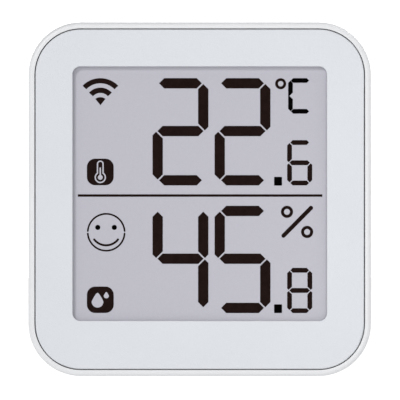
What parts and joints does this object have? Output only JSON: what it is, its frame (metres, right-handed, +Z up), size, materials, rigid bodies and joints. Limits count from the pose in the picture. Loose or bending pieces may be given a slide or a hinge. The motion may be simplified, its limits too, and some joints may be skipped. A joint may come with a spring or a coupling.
{
  "type": "temperature humidity sensor",
  "caption": "Desk temperature and humidity sensor: square rounded case, framed segment display, battery door, fold-out stand and pairing button on the back.",
  "frame": {"origin": "middle of the base, in the middle of the depth", "axes": "+Z up, the display faces -Y, +X to the right of someone who reads the display"},
  "size_m": [0.062, 0.0208, 0.064],
  "materials": {
    "bezel_plastic": "fine matte, cool pale grey",
    "case_plastic": "fine matte, white",
    "foam": "closed-cell foam, black",
    "polariser": "anti-glare film, lilac grey",
    "display_glass": "polished float glass",
    "reflector": "satin metallised film",
    "holder_plastic": "matte, white",
    "elastomer": "silicone, pink",
    "board": "glass-epoxy laminate, green solder mask",
    "module_board": "glass-epoxy laminate, dark green solder mask",
    "shield": "tin-plated sheet",
    "chip": "moulded epoxy, black",
    "capacitor": "fired ceramic, tan",
    "switch_plastic": "black",
    "button_plastic": "fine matte, pale grey",
    "cell": "printed jacket on a steel can, plain",
    "contact": "nickel-plated spring steel",
    "screw": "zinc-plated"
  },
  "bodies": {
    "case": {"front_bezel": "bezel_plastic", "rear_case": "case_plastic", "lcd_gasket": "foam", "lcd_front_polariser": "polariser", "lcd_front_glass": "display_glass", "lcd_rear_glass": "display_glass", "lcd_reflector": "reflector", "lcd_holder": "holder_plastic", "elastomer_strip": "elastomer", "main_board": "board", "wireless_module": "module_board", "wireless_shield": "shield", "display_driver": "chip", "humidity_sensor": "chip", "chip_capacitors": "capacitor", "push_switch": "switch_plastic", "upper_cell": "cell", "lower_cell": "cell", "positive_contact": "contact", "negative_contact": "contact", "negative_spring": "contact", "bridge_contact": "contact", "bridge_spring": "contact", "case_screws": "screw", "board_screws": "screw"},
    "door": {"battery_door": "case_plastic"},
    "stand": {"fold_stand": "case_plastic"},
    "button": {"pairing_button": "button_plastic", "switch_plunger": "switch_plastic"}
  },
  "joints": [
    {"name": "door_hinge", "type": "hinge", "parent": "case", "child": "door", "pos_m": [0, 0.0096, 0.03595], "axis": [-1, 0, 0], "range_deg": [0, 75]},
    {"name": "stand_hinge", "type": "hinge", "parent": "case", "child": "stand", "pos_m": [0, 0.00925, 0.03117], "axis": [1, 0, 0], "range_deg": [0, 48]},
    {"name": "button_press", "type": "slide", "parent": "case", "child": "button", "axis": [0, -1, 0], "range_m": [0, 0.0003], "stiffness_N_per_m": 400, "springref_m": -0.0005}
  ]
}
